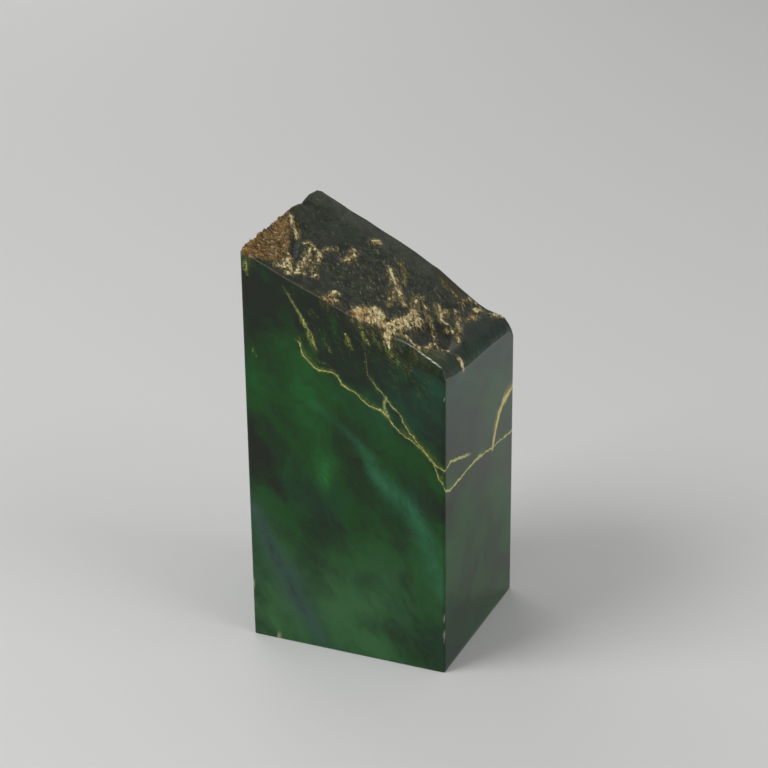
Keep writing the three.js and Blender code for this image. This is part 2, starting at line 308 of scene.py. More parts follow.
    z = z - edge_drop(HW - x, along(RIGHT_EDGE_R, y))
    z = z - edge_drop(HD - y, along(BACK_EDGE_R, x))
    z = z - edge_drop(x + HW, 1.3)
    foot = along(BEVEL_FOOT, x) + (0.3 * noise2(x * 0.16, 7.7 + 0 * x, 42) + 0.12 * fbm(x * 0.5, y * 0.5, 2, 50)) * smooth(18, 22, x)
    bev = foot + 1.2 * (y + HD) + np.where(x < 12, 40, 0)
    k = 0.7
    h = np.clip(0.5 + 0.5 * (z - bev) / k, 0, 1)
    on_bevel = h
    # painted highlight: mask of a thin line along the crease where the bevel meets the top
    painted_crease_glint = bell((z - bev - 0.05) / 0.20) * smooth(17, 25, x) * (1 - smooth(42.2, 43.0, x)) * (0.3 + 0.7 * smooth(25, 36, x))
    band = smooth(20, 34, y) * (1 - smooth(4, 22, x)) + 0.8 * bell(np.hypot((x + 45) / 5, (y - 24) / 14))
    z = z * (1 - h) + bev * h - k * h * (1 - h)
    z = z - 0.25 * (1 - smooth(0, 0.5, y + HD))
    orange = np.zeros(x.shape)
    for px, py, r in ((-6.6, -38.9, 2.0), (5.4, -37.6, 2.2), (32.7, 22.6, 1.8), (-43.0, -37.5, 3.2)):
        orange = np.maximum(orange, bell(np.hypot(wx - px, wy - py) / r))
    return z, dict(rind=rind, groove=groove, pool=pool, glass=glass, right=right, olive=olive, crust=crust,
                   bevel=on_bevel, painted_crease_glint=painted_crease_glint, band=band, edge=edge_green, blue=blue,
                   crest=1 - smooth(0.25, 1.3, y + HD + 0.3 * noise2(x * 0.6, 3.1 + 0 * x, 10)),
                   glint=(1 - smooth(0.15, 0.6, y + HD)) * smooth(-43, -38, x) * (1 - smooth(2, 12, x)),
                   orange=orange, corner=bell(np.hypot((x + 45) / 7, (y + 36) / 12)), gold=gold, specks=specks)


# ---------------------------------------------------------------- veins and bands in the sides
# The main veins are sheets through the stone, so they run on round the corners. Each is given
# by its line on the front face (x, z) and how it rises or falls with depth (y, dz).
VEIN_A = [(-45, 168), (-30, 153), (-19.3, 141.8), (-18.0, 137.6), (-15.0, 134.5), (-10.5, 130.7), (-6.7, 131.6),
          (-2.5, 129.8), (-0.3, 126.6), (5.5, 123.5), (8.5, 120.9), (11.6, 118.7), (16.5, 117.7), (20.0, 114.7),
          (23.5, 110.4), (27.5, 107.9), (30.6, 105.8), (34.5, 103.3), (37.6, 100.3), (40.2, 96.7), (42.0, 92.5),
          (44.2, 88.8), (45, 85.9)]
VEIN_A_Y = [(-40.5, 0), (-36, -1.6), (-32.6, -1.9), (-23.5, -1.8), (-12.6, -1.3), (-1.4, -1.6), (13.2, -4.0),
            (20.6, -4.6), (35.7, -6.2), (40.5, -6.6)]
VEIN_B = [(-45, 175), (0, 156), (9.5, 146), (11.4, 132.0), (15.3, 127.3), (19.0, 123.5), (21.4, 120.3), (24.9, 117.3),
          (26.6, 114.1), (29.3, 110.0), (32.3, 106.5), (35.0, 103.8), (40.6, 97.6), (43.3, 95.6), (45, 94.0)]
VEIN_B_Y = [(-40.5, 0), (-38, 1.6), (-34.9, 2.4), (-29, 1.4), (-23.6, -0.3), (-12.7, -3.3), (-4, -7.0), (40.5, -13)]
BRANCH_Y = [(12, 81.4), (15.6, 82.6), (19.1, 89.7), (22.7, 94.3), (28.8, 98.4), (37.5, 99.9), (40.5, 101.5)]
STREAK_C = [(-34, 176), (-24.9, 164.2), (-20.4, 157.5), (-16.7, 151.9), (-14.2, 147.0), (-11.2, 140.4), (-8, 132)]
BLUE_BAND = [(-14, 116), (-1.6, 107.5), (6, 101.5), (11.2, 95.6), (13.4, 89.4), (18.3, 83.6), (26.4, 78.6),
             (31.7, 73.2), (34.8, 64.0), (37.5, 57.5), (40.1, 48.7), (45.1, 40.2)]
CRACK = [(-46, 102), (-43.8, 98.9), (-40.8, 92.0), (-35.9, 84.5), (-31.6, 73.5), (-24.3, 65.4), (-19.9, 55.8),
         (-15.5, 44), (-13, 36)]
PATCH = [(-43, 62), (-40.7, 56.1), (-36.9, 46.8), (-32.3, 38.9), (-27.3, 31.6), (-24.2, 22.4), (-17.0, 11.8),
         (-12, 3)]


def side_marks(x, y, z):
    """Signed distances and soft masks of the markings, for points on the sides."""
    m = {}
    slope_a = np.gradient(along(VEIN_A, np.linspace(-45, 45, 361)), 0.25)
    ca = 1 / np.sqrt(1 + np.interp(x, np.linspace(-45, 45, 361), slope_a) ** 2)
    east = smooth(44.0, 44.9, x)
    ca = ca * (1 - east) + 0.97 * east
    m["va"] = (z - along(VEIN_A, x) - along(VEIN_A_Y, y)) * ca
    m["ia"] = smooth(-21.5, -18.0, x)
    slope_b = np.gradient(along(VEIN_B, np.linspace(-45, 45, 361)), 0.25)
    cb = 1 / np.sqrt(1 + np.interp(x, np.linspace(-45, 45, 361), slope_b) ** 2)
    cb = cb * (1 - east) + 0.95 * east
    m["vb"] = (z - along(VEIN_B, x) - along(VEIN_B_Y, y)) * cb
    ib = smooth(9.0, 13.0, x) * (0.55 + 0.45 * smooth(14, 22, x))
    m["ib"] = ib * (1 - smooth(-20, -8, y))
    # the short link between the two, and the branch that climbs to the back on the right
    front = 1 - smooth(-38, -30, y)
    d, t = line_dist(x, z, [(19.2, 123.2), (18.3, 120.7), (18.8, 118.2), (20.2, 115.2)])
    m["link"] = (1 - smooth(0.15, 0.75, d)) * front
    cy = 1 / np.sqrt(1 + np.interp(y, [12, 15.6, 19.1, 22.7, 28.8, 37.5, 40.5], [0.2, 2.0, 1.6, 1.0, 0.5, 0.3, 0.3]) ** 2)
    m["vc"] = (z - along(BRANCH_Y, y) - (45 - x) * 0.42) * cy
    m["ic"] = smooth(13.5, 16.5, y) * smooth(-43, 0, x) * (0.55 + 0.45 * smooth(38.0, 44.0, x))
    m["vs"] = (z - along(STREAK_C, x)) * 0.55
    m["is"] = front * smooth(-27, -22, x) * (1 - smooth(-12.6, -10.4, x)) * (0.4 + 0.6 * smooth(-22, -14, x))
    # soft bands and patches
    d, t = line_dist(x, z - 0.12 * (y + HD), BLUE_BAND)
    w = 1.9 + 2.4 * smooth(0.2, 0.55, t) + 0.8 * smooth(0.6, 0.9, t)
    m["band"] = bell(d / w) * (0.35 + 0.65 * smooth(0.12, 0.42, t)) * (1 - 0.85 * east)
    d, t = line_dist(x, z - 0.1 * (y + HD), CRACK)
    m["crack"] = (1 - smooth(0.2, 1.2, d)) * (1 - 0.75 * smooth(0.4, 0.6, t)) * front
    m["cracksoft"] = bell(d / 3.4) * (1 - smooth(0.45, 0.6, t)) * front
    d, t = line_dist(x, z - 0.1 * (y + HD), PATCH)
    m["patch"] = bell(d / (2.2 + 2.6 * np.sin(np.pi * np.clip(t, 0, 1))))
    m["patchhalo"] = bell(d / 9.0)
    m["patchdark"] = bell(d / 2.3) * np.sin(np.pi * np.clip(t * 1.1, 0, 1)) * front
    # dark ground above the main vein, teal near the front corner
    above = z - along([(-45, 178), (-25, 163), (-19.5, 143), (-10.5, 131), (16.5, 117.5), (45, 87)], x) - along(VEIN_A_Y, y)
    m["above"] = smooth(-1.5, 9, above)
    m["teal"] = bell(np.hypot((x - 40) / 20, (z - 127) / 16)) * (1 - smooth(-30, 10, y) * 0.55)
    m["tealspot"] = bell(np.hypot((x - 29.4) * 0.8 + (z - 131.3) * 0.6, ((z - 131.3) * 0.8 - (x - 29.4) * 0.6) * 2.2) / 3.4) * front
    m["bright"] = (bell(np.hypot((x + 14) / 22, (z - 118) / 17)) + 0.8 * bell(np.hypot((x + 40) / 9, (z - 112) / 13))
                   - 0.75 * bell(np.hypot((x + 36) / 17, (z - 160) / 17)) - 0.45 * bell(np.hypot((x + 45) / 6, (z - 100) / 45)))
    # painted reflection: lighter low on the sides and fading upwards, standing in for the floor mirrored in the
    # polished faces
    m["milky"] = (1 - smooth(18, 66, z - 0.25 * x)) * (1 - 0.6 * smooth(12, 38, x)) * (1 - 0.9 * east)
    m["jadespot"] = bell(np.hypot((x + 9.4) / 3.4, (z - 83.2) / 5.2)) * front + 0.55 * bell(np.hypot((x + 8) / 6, (z - 90) / 4)) * front
    # short olive and cream marks on the front face: (points, width, strength)
    short = [([(-8.6, 145.4), (-6.2, 142.0), (-4.1, 138.4)], 0.9, 0.6), ([(0.9, 149.8), (2.4, 147.2), (3.2, 144.6), (5.1, 142.8)], 0.95, 0.95),
             ([(-19.4, 156.2), (-16.6, 150.6), (-13.9, 145.0), (-11.6, 140.6)], 0.85, 0.8), ([(-16.0, 147.6), (-13.6, 142.4), (-12.4, 139.6)], 0.7, 0.7),
             ([(8.3, 154.6), (9.3, 150.0), (12.5, 145.0)], 1.3, 0.8), ([(13.4, 152.4), (15.0, 148.0), (18.5, 144.0)], 1.1, 0.6),
             ([(17.5, 148.8), (20.4, 144.2), (24.4, 140.2)], 1.1, 0.65), ([(24.0, 141.4), (26.6, 136.4)], 0.9, 0.5),
             ([(9.9, 141.0), (10.6, 136.0), (11.2, 131.5)], 0.5, 0.5), ([(-12.0, 136.5), (-9.0, 134.5), (-5.0, 134.0)], 0.9, 0.5),
             ([(-42.6, 176.0), (-42.2, 172.0), (-42.0, 168.8)], 1.3, 0.8), ([(-40.9, 136.6), (-40.0, 134.2), (-38.8, 132.4)], 0.8, 0.7),
             ([(-6.9, 160.4), (-5.6, 156.6), (-4.4, 153.2)], 0.35, 0.4), ([(9.6, 153.0), (10.2, 149.6), (11.8, 146.4)], 0.9, 0.5),
             ([(12.6, 150.8), (13.8, 147.6)], 0.8, 0.35), ([(15.2, 149.0), (16.2, 146.6)], 0.6, 0.3),
             ([(20.2, 146.8), (22.4, 142.6), (26.0, 139.4), (30.6, 136.8)], 1.2, 0.6), ([(28.0, 139.0), (29.4, 135.4), (31.4, 131.0)], 0.4, 0.4),
             ([(-2.9, 43.8), (2.4, 51.0), (7.5, 56.8)], 0.5, 0.22), ([(17.1, 58.7), (20.8, 56.0), (23.0, 51.2), (24.2, 39.3)], 0.6, 0.18),
             ([(-3.5, 113.6), (0.5, 140)], 0.1, 0.0)]
    olive = np.zeros(x.shape)
    pale = np.zeros(x.shape)
    for pts, w, k in short:
        d, t = line_dist(x + 0.8 * noise2(x * 0.35, z * 0.35, 51) + 0.35 * noise2(x, z, 53),
                         z + 0.8 * noise2(x * 0.35, z * 0.35, 52) + 0.35 * noise2(x, z, 54), pts)
        ends = np.sin(np.pi * np.clip(0.08 + 0.84 * t, 0, 1))
        olive = np.maximum(olive, k * bell(d / (1.25 * w * ends + 0.15)))
        pale = np.maximum(pale, k * bell(d / (0.45 * w * ends + 0.1)))
    crest = along(FRONT_CREST, x)
    m["strand"] = front * smooth(-24, -12, x) * (1 - smooth(34, 43, x)) * smooth(30, 6, crest - z)
    m["olive"] = olive * front
    m["pale"] = pale * front
    # chips along the edges
    chips = np.zeros(x.shape)
    for (px, py, pz), r in (((45, -40.5, 26), 0.55), ((45, -40.5, 19), 0.6), ((45, -40.5, 16.5), 0.45),
                            ((-45, -40.5, 25), 0.9), ((-33, -40.5, 0.3), 0.9), ((45, -40.5, 127), 0.5),
                            ((-45, 40.5, 60), 0.9), ((45, 40.5, 31), 0.8), ((10, 40.5, 0.3), 1.0)):
        d = np.sqrt((x - px) ** 2 + (y - py) ** 2 + ((z - pz) * 0.6) ** 2)
        chips = np.maximum(chips, 1 - smooth(r * 0.6, r * 1.5, d))
    m["chips"] = chips
    m["east"] = east
    return m


# ---------------------------------------------------------------- mesh
def grid_lines(half, edge, step):
    near = np.arange(0, 6.0, edge)
    n = int(round((2 * half - 12.0) / step))
    mid = np.linspace(6.0, 2 * half - 6.0, n + 1)
    return np.concatenate([near, mid, 2 * half - near[::-1]]) - half


def build_mesh():
    xs = grid_lines(HW, 0.36, 0.42)
    ys = grid_lines(HD, 0.36, 0.42)
    nx, ny = len(xs), len(ys)
    X, Y = np.meshgrid(xs, ys, indexing="ij")
    # round the four upright corners
    a = HW - np.abs(X)
    b = HD - np.abs(Y)
    p = np.clip(1 - a / CORNER_R, 0, 1)
    q = np.clip(1 - b / CORNER_R, 0, 1)
    s = np.where((p > 0) & (q > 0), np.maximum(p, q) / np.maximum(np.hypot(p, q), 1e-9), 1.0)
    X2 = np.sign(X) * np.where((p > 0) & (q > 0), HW - CORNER_R * (1 - p * s), np.abs(X))
    Y2 = np.sign(Y) * np.where((p > 0) & (q > 0), HD - CORNER_R * (1 - q * s), np.abs(Y))
    Z, masks = raw_top(X2, Y2)
    cap = (box_hi.z - Z0) / MM
    Z = np.minimum(Z, cap + 0.6)

    idx = np.arange(nx * ny).reshape(nx, ny)
    verts = [np.stack([X2.ravel(), Y2.ravel(), Z.ravel()], 1)]
    faces = [np.stack([idx[:-1, :-1].ravel(), idx[1:, :-1].ravel(), idx[1:, 1:].ravel(), idx[:-1, 1:].ravel()], 1)]

    rim = np.concatenate([idx[:-1, 0], idx[-1, :-1], idx[:0:-1, -1], idx[0, :0:-1]])
    assert len(rim) % 2 == 0
    half = rim[::2]
    n = len(half)
    rx, ry, rz = X2.ravel()[half], Y2.ravel()[half], Z.ravel()[half]
    # rows down the walls, closer together in the upper half
    t = np.concatenate([np.linspace(1, 0.5, 62)[1:], np.linspace(0.5, 0.0, 27)[1:]])
    t[0] = (t[0] + 1) / 2
    base = nx * ny
    rows = []
    for k, f in enumerate(t):
        zz = BASE_EASE + (rz - BASE_EASE) * f
        verts.append(np.stack([rx, ry, zz], 1))
        rows.append(base + np.arange(n))
        base += n
    # eased foot and base
    for inset, height in ((0.09, 0.3), (0.3, 0.09), (0.6, 0.0)):
        verts.append(np.stack([rx * (HW - inset) / HW, ry * (HD - inset) / HD, np.full(n, height)], 1))
        rows.append(base + np.arange(n))
        base += n
    first = rows[0]
    nxt, far = np.roll(first, -1), np.roll(half, -1)
    odd = rim[1::2]
    tris = [np.stack([first, odd, half], 1), np.stack([first, nxt, odd], 1), np.stack([nxt, far, odd], 1)]
    for up, dn in zip(rows, rows[1:]):
        faces.append(np.stack([dn, np.roll(dn, -1), np.roll(up, -1), up], 1))
    verts.append(np.array([[0.0, 0.0, 0.0]]))
    V = np.concatenate(verts)
    quads = np.concatenate(faces)
    last = rows[-1]
    tris.append(np.stack([np.full(n, base), np.roll(last, -1), last], 1))
    tris = np.concatenate(tris)

    me = bpy.data.meshes.new("jade_block_stone")
    co = np.empty_like(V)
    co[:, 0] = CX + V[:, 0] * MM
    co[:, 1] = CY + V[:, 1] * MM
    co[:, 2] = Z0 + V[:, 2] * MM
    nv, nq, nt = len(V), len(quads), len(tris)
    me.vertices.add(nv)
    me.vertices.foreach_set("co", co.astype(np.float32).ravel())
    me.loops.add(nq * 4 + nt * 3)
    me.loops.foreach_set("vertex_index", np.concatenate([quads.ravel(), tris.ravel()]).astype(np.int32))
    me.polygons.add(nq + nt)
    starts = np.concatenate([np.arange(nq) * 4, nq * 4 + np.arange(nt) * 3]).astype(np.int32)
    me.polygons.foreach_set("loop_start", starts)
    me.update(calc_edges=True)
    me.polygons.foreach_set("use_smooth", np.ones(nq + nt, bool))
    me.validate()
    ev = np.empty(len(me.edges) * 2, np.int32)
    me.edges.foreach_get("vertices", ev)
    on_rim = np.zeros(nv, bool)
    on_rim[rim] = True
    sharp = on_rim[ev[0::2]] & on_rim[ev[1::2]]
    me.attributes.new("sharp_edge", "BOOLEAN", "EDGE").data.foreach_set("value", sharp)

    top_n = nx * ny
    is_top = np.zeros(nv)
    is_top[:top_n] = 1.0
    is_top[rim] = 0.5
    x, y, z = V[:, 0], V[:, 1], V[:, 2]
    marks = side_marks(x, y, z)
    attrs = {"top": is_top}
    for k, val in masks.items():
        full = np.zeros(nv)
        full[:top_n] = val.ravel()
        attrs["t_" + k] = full
    # the rim's colour runs a little way down the sides, as weathering does
    first = nx * ny
    for k in ("rind", "crust", "gold", "olive"):
        src = attrs["t_" + k][half]
        for row in range(5):
            attrs["t_" + k][first + row * n:first + (row + 1) * n] = src * (0.75, 0.4, 0.2, 0.08, 0.0)[row]
    for k, val in marks.items():
        attrs["s_" + k] = val
    for k, val in attrs.items():
        at = me.attributes.new(k, "FLOAT", "POINT")
        at.data.foreach_set("value", val.astype(np.float32))
    return me


mesh = build_mesh()
stone = bpy.data.objects.new("jade_block_stone", mesh)
bpy.context.scene.collection.objects.link(stone)


# ---------------------------------------------------------------- material
class Graph:
    def __init__(self, name):
        self.mat = bpy.data.materials.new(name)
        self.mat.use_nodes = True
        self.t = self.mat.node_tree
        self.t.nodes.clear()

    def node(self, kind, **props):
        n = self.t.nodes.new(kind)
        for k, v in props.items():
            setattr(n, k, v)
        return n

    def put(self, socket, value):
        if isinstance(value, bpy.types.NodeSocket):
            self.t.links.new(value, socket)
        elif value is not None:
            if isinstance(value, tuple) and socket.type == "RGBA" and len(value) == 3:
                value = (*value, 1)
            socket.default_value = value

    def math(self, op, a, b=None, c=None, clamp=False):
        n = self.node("ShaderNodeMath", operation=op, use_clamp=clamp)
        for s, v in zip(n.inputs, (a, b, c)):
            if v is not None:
                self.put(s, v)
        return n.outputs[0]

    def add(self, a, b):
        return self.math("ADD", a, b)

    def sub(self, a, b):
        return self.math("SUBTRACT", a, b)

    def mul(self, a, b):
        return self.math("MULTIPLY", a, b)

    def mx(self, a, b):
        return self.math("MAXIMUM", a, b)

    def attr(self, name):
        return self.node("ShaderNodeAttribute", attribute_name=name).outputs["Fac"]

    def vec(self, op, a, b=None, scale=None):
        n = self.node("ShaderNodeVectorMath", operation=op)
        self.put(n.inputs[0], a)
        if b is not None:
            self.put(n.inputs[1], b)
        if scale is not None:
            self.put(n.inputs["Scale"], scale)
        return n.outputs["Value"] if op in ("DOT_PRODUCT", "LENGTH", "DISTANCE") else n.outputs["Vector"]

    def combine(self, x, y, z):
        n = self.node("ShaderNodeCombineXYZ")
        for s, v in zip(n.inputs, (x, y, z)):
            self.put(s, v)
        return n.outputs[0]

    def noise(self, vector, scale, detail=3.0, rough=0.5, distortion=0.0, colour=False):
        n = self.node("ShaderNodeTexNoise")
        self.put(n.inputs["Vector"], vector)
        self.put(n.inputs["Scale"], scale)
        self.put(n.inputs["Detail"], detail)
        self.put(n.inputs["Roughness"], rough)
        self.put(n.inputs["Distortion"], distortion)
        return n.outputs["Color"] if colour else n.outputs["Fac"]

    def ramp(self, v, a, b, c=0.0, d=1.0, kind="SMOOTHSTEP"):
        n = self.node("ShaderNodeMapRange", interpolation_type=kind, clamp=True) if kind != "LINEAR" else self.node("ShaderNodeMapRange", clamp=True)
        for s, val in zip(("Value", "From Min", "From Max", "To Min", "To Max"), (v, a, b, c, d)):
            self.put(n.inputs[s], val)
        return n.outputs["Result"]

    def mix(self, fac, a, b, blend="MIX"):
        n = self.node("ShaderNodeMix", data_type="RGBA", blend_type=blend)
        n.clamp_factor = True
        self.put(n.inputs[0], fac)
        self.put(n.inputs[6], a)
        self.put(n.inputs[7], b)
        return n.outputs[2]


g = Graph("jade_stone")
obj_co = g.node("ShaderNodeTexCoord").outputs["Object"]
P = g.vec("SCALE", obj_co, scale=1.0 / MM)  # millimetres on the block

big = g.vec("SUBTRACT", g.noise(P, 0.045, 3, 0.5, colour=True), (0.5, 0.5, 0.5))
mid = g.vec("SUBTRACT", g.noise(P, 0.19, 3, 0.55, colour=True), (0.5, 0.5, 0.5))
PW = g.vec("ADD", g.vec("ADD", P, g.vec("SCALE", big, scale=16.0)), g.vec("SCALE", mid, scale=3.5))
# along the fibres, across them, and in depth
fl = g.vec("DOT_PRODUCT", PW, (0.60, 0.10, -0.79))
ac = g.vec("DOT_PRODUCT", PW, (0.79, 0.06, 0.60))
dp = g.vec("DOT_PRODUCT", PW, (0.0, 1.0, 0.1))
Q = g.combine(g.mul(fl, 0.6), ac, g.mul(dp, 0.65))
Q2 = g.combine(g.mul(fl, 0.32), ac, g.mul(dp, 0.42))

cloud = g.noise(Q, 0.055, 4, 0.55)
streak = g.noise(Q2, 0.16, 5, 0.6)
fine = g.noise(Q, 0.6, 4, 0.6)
soft = g.noise(PW, 0.028, 2, 0.5)

above = g.attr("s_above")
bright = g.attr("s_bright")
tone = g.add(g.mul(g.sub(cloud, 0.5), 1.75), g.add(g.mul(g.sub(streak, 0.5), 0.5), 0.38))
tone = g.add(tone, g.mul(g.sub(fine, 0.5), 0.26))
tone = g.add(tone, g.mul(bright, 0.38))
tone = g.sub(tone, g.mul(g.mul(above, g.ramp(g.attr("s_east"), 0.0, 1.0, 1.0, 0.35)), g.ramp(streak, 0.66, 0.36, 0.18, 0.52)))
tone = g.sub(tone, g.mul(g.attr("s_cracksoft"), 0.25))

JADE = {
    "dark": (0.0035, 0.012, 0.0025), "low": (0.0018, 0.030, 0.0016), "mid": (0.0016, 0.054, 0.0022),
    "high": (0.0016, 0.098, 0.009), "teal": (0.0030, 0.056, 0.024), "pale": (0.013, 0.165, 0.024),
    "band": (0.019, 0.138, 0.060), "patch": (0.036, 0.086, 0.066), "halo": (0.028, 0.098, 0.042),
}
side = g.mix(g.ramp(tone, 0.05, 0.32), JADE["dark"], JADE["low"])
side = g.mix(g.ramp(tone, 0.28, 0.55), side, JADE["mid"])
side = g.mix(g.ramp(tone, 0.52, 0.98), side, JADE["high"])
blueish = g.ramp(g.add(soft, g.mul(g.sub(streak, 0.5), 0.4)), 0.52, 0.68)
side = g.mix(g.mul(blueish, 0.30), side, JADE["teal"])
side = g.mix(g.mul(g.attr("s_teal"), g.ramp(streak, 0.36, 0.6, 0.35, 0.95)), side, JADE["teal"])
side = g.mix(g.mul(g.attr("s_jadespot"), g.ramp(fine, 0.35, 0.65, 0.4, 0.9)), side, JADE["pale"])
side = g.mix(g.mul(g.attr("s_tealspot"), g.ramp(fine, 0.7, 0.4)), side, (0.003, 0.008, 0.004))
side = g.mix(g.mul(g.attr("s_band"), g.ramp(g.add(streak, g.mul(fine, 0.5)), 0.55, 0.95, 0.45, 0.95)), side, JADE["band"])
# painted reflection of the floor: a lighter green low on the sides
side = g.mix(g.mul(g.attr("s_milky"), g.ramp(g.add(g.mul(cloud, 0.6), g.mul(streak, 0.4)), 0.36, 0.62, 0.25, 0.85)), side, (0.040, 0.138, 0.045))
side = g.mix(g.mul(g.attr("s_patchhalo"), 0.45), side, JADE["halo"])
side = g.mix(g.mul(g.attr("s_patch"), g.ramp(fine, 0.3, 0.62, 0.6, 1.0)), side, JADE["patch"])
side = g.mix(g.mul(g.attr("s_patchdark"), g.ramp(g.add(g.mul(fine, 0.5), g.mul(streak, 0.5)), 0.38, 0.62, 0.2, 0.9)), side, (0.009, 0.022, 0.017))
side = g.mix(g.mul(g.attr("s_crack"), g.ramp(fine, 0.7, 0.4, 0.45, 0.95)), side, (0.002, 0.006, 0.002))

# veins
jitter = g.add(g.mul(g.sub(g.noise(P, 0.28, 3, 0.55), 0.5), 2.4), g.mul(g.sub(g.noise(P, 1.3, 3, 0.6), 0.5), 0.9))
veinfine = g.noise(P, 2.4, 3, 0.6)
swell = g.noise(P, 0.12, 2, 0.5)


def vein(dist, amount, core_w, up_w, down_w):
    """A bright thread with a golden cloud that is wider on its upper side."""
    sd = g.add(dist, jitter)
    d = g.math("ABSOLUTE", sd)
    cw = g.mul(core_w, g.ramp(swell, 0.3, 0.7, 0.45, 1.5))
    core = g.mul(g.math("SUBTRACT", 1.0, g.ramp(g.math("DIVIDE", d, cw), 0.4, 1.3)), amount)
    cloud_w = g.ramp(sd, -0.1, 0.1, down_w, up_w)
    fall = g.math("SUBTRACT", 1.0, g.ramp(g.math("DIVIDE", d, g.mul(cloud_w, g.ramp(streak, 0.35, 0.65, 0.5, 1.4))), 0.0, 1.0))
    return core, g.mul(fall, amount)


east = g.attr("s_east")
ca, ha = vein(g.attr("s_va"), g.attr("s_ia"), g.ramp(east, 0.0, 1.0, 0.27, 0.60), 2.5, 1.2)
cb, hb = vein(g.attr("s_vb"), g.attr("s_ib"), g.ramp(east, 0.0, 1.0, 0.22, 0.55), 1.7, 1.2)
cc, hc = vein(g.attr("s_vc"), g.attr("s_ic"), 1.35, 3.4, 2.6)
cs, hs = vein(g.attr("s_vs"), g.attr("s_is"), 0.40, 1.4, 2.6)
core = g.mx(g.mx(ca, cb), g.mx(cc, g.mul(cs, 0.7)))
core = g.mx(core, g.mul(g.attr("s_link"), 0.8))
halo = g.mx(g.mx(ha, g.mul(hb, 0.8)), g.mx(hc, hs))
OLIVE = g.mix(g.ramp(veinfine, 0.35, 0.65), (0.045, 0.078, 0.007), (0.16, 0.175, 0.026))
side = g.mix(g.mul(halo, g.ramp(g.add(g.mul(fine, 0.6), g.mul(veinfine, 0.4)), 0.42, 0.58, 0.42, 1.0)), side, OLIVE)
side = g.mix(g.mul(hc, g.ramp(veinfine, 0.35, 0.6, 0.4, 1.0)), side, (0.30, 0.19, 0.018))
strand = g.math("ABSOLUTE", g.sub(g.noise(g.combine(g.mul(fl, 0.13), ac, g.mul(dp, 0.35)), 0.30, 3, 0.5), 0.5))
strand = g.ramp(strand, 0.004, 0.030, 1.0, 0.0)
side = g.mix(g.mul(g.mul(strand, g.attr("s_strand")), g.ramp(fine, 0.44, 0.62, 0.05, 0.75)), side, (0.075, 0.100, 0.012))
olive_amt = g.ramp(g.add(g.attr("s_olive"), g.add(g.mul(g.sub(veinfine, 0.5), 1.5), g.mul(g.sub(fine, 0.5), 1.4))), 0.36, 0.95)
side = g.mix(g.mul(olive_amt, g.ramp(g.attr("s_olive"), 0.02, 0.2)), side, g.mix(g.ramp(veinfine, 0.38, 0.62), (0.060, 0.085, 0.008), (0.21, 0.23, 0.035)))
cream = g.mix(g.ramp(veinfine, 0.38, 0.62), (0.22, 0.27, 0.040), (0.66, 0.70, 0.27))
golden = g.mix(g.ramp(veinfine, 0.36, 0.62), (0.42, 0.33, 0.055), (0.88, 0.77, 0.34))
cream = g.mix(g.mx(g.math("MINIMUM", g.mul(cc, 2.0), 1.0), g.mul(east, 0.45)), cream, golden)
pale_amt = g.ramp(g.add(g.attr("s_pale"), g.mul(g.sub(veinfine, 0.5), 1.2)), 0.55, 0.85)
core = g.mx(core, g.mul(pale_amt, g.ramp(g.attr("s_pale"), 0.02, 0.2)))
side = g.mix(g.mul(core, g.ramp(veinfine, 0.28, 0.55, 0.30, 1.0)), side, cream)
side = g.mix(g.attr("s_chips"), side, (0.35, 0.36, 0.20))

# ---- the raw top
T = g.combine(g.mul(g.vec("DOT_PRODUCT", P, (0.55, -0.835, 0.0)), 0.25), g.vec("DOT_PRODUCT", P, (0.835, 0.55, 0.0)),
              g.mul(g.vec("DOT_PRODUCT", P, (0.0, 0.0, 1.0)), 0.3))
T2 = g.combine(g.mul(g.vec("DOT_PRODUCT", P, (0.55, -0.835, 0.0)), 0.5), g.vec("DOT_PRODUCT", P, (0.835, 0.55, 0.0)),
               g.mul(g.vec("DOT_PRODUCT", P, (0.0, 0.0, 1.0)), 0.5))
tfib = g.noise(T, 0.55, 5, 0.62)
tfine = g.noise(P, 1.5, 4, 0.62)
tchip = g.noise(T2, 0.95, 4, 0.6)
tmid = g.noise(P, 0.22, 4, 0.6)
tbig = g.noise(P, 0.06, 3, 0.5)
tlump = g.noise(P, 0.62, 5, 0.66)
glass = g.mix(g.ramp(g.add(g.add(g.mul(tfib, 0.25), g.mul(tmid, 0.45)), g.mul(tlump, 0.3)), 0.42, 0.58), (0.0040, 0.0062, 0.0032), (0.030, 0.036, 0.018))
greenish = g.mix(g.ramp(g.add(g.mul(tfib, 0.5), g.mul(tmid, 0.5)), 0.36, 0.64), (0.005, 0.015, 0.006), (0.018, 0.040, 0.017))
top = g.mix(g.mul(g.mul(g.ramp(g.add(tbig, g.mul(g.sub(tfib, 0.5), 0.5)), 0.42, 0.58), 0.9), g.attr("t_blue")), glass, greenish)
top = g.mix(g.mul(g.attr("t_band"), g.ramp(g.add(g.mul(tfib, 0.6), g.mul(tmid, 0.4)), 0.36, 0.6, 0.35, 1.0)), top, (0.046, 0.053, 0.034))
hair = g.ramp(g.math("ABSOLUTE", g.sub(g.noise(T, 0.9, 2, 0.5), 0.5)), 0.0, 0.012, 1.0, 0.0)
top = g.mix(g.mul(hair, g.ramp(tbig, 0.45, 0.6, 0.1, 0.55)), top, (0.09, 0.095, 0.055))
top = g.mix(g.mul(g.attr("t_olive"), g.ramp(tmid, 0.35, 0.6, 0.4, 1.0)), top, (0.040, 0.032, 0.009))
top = g.mix(g.mul(g.attr("t_right"), 0.85), top, g.mix(g.ramp(tfib, 0.35, 0.7), (0.004, 0.013, 0.005), (0.014, 0.024, 0.013)))
gg = g.mix(g.ramp(tmid, 0.35, 0.7), (0.016, 0.034, 0.009), (0.060, 0.070, 0.020))
top = g.mix(g.mul(g.attr("t_glass"), 0.95), top, gg)
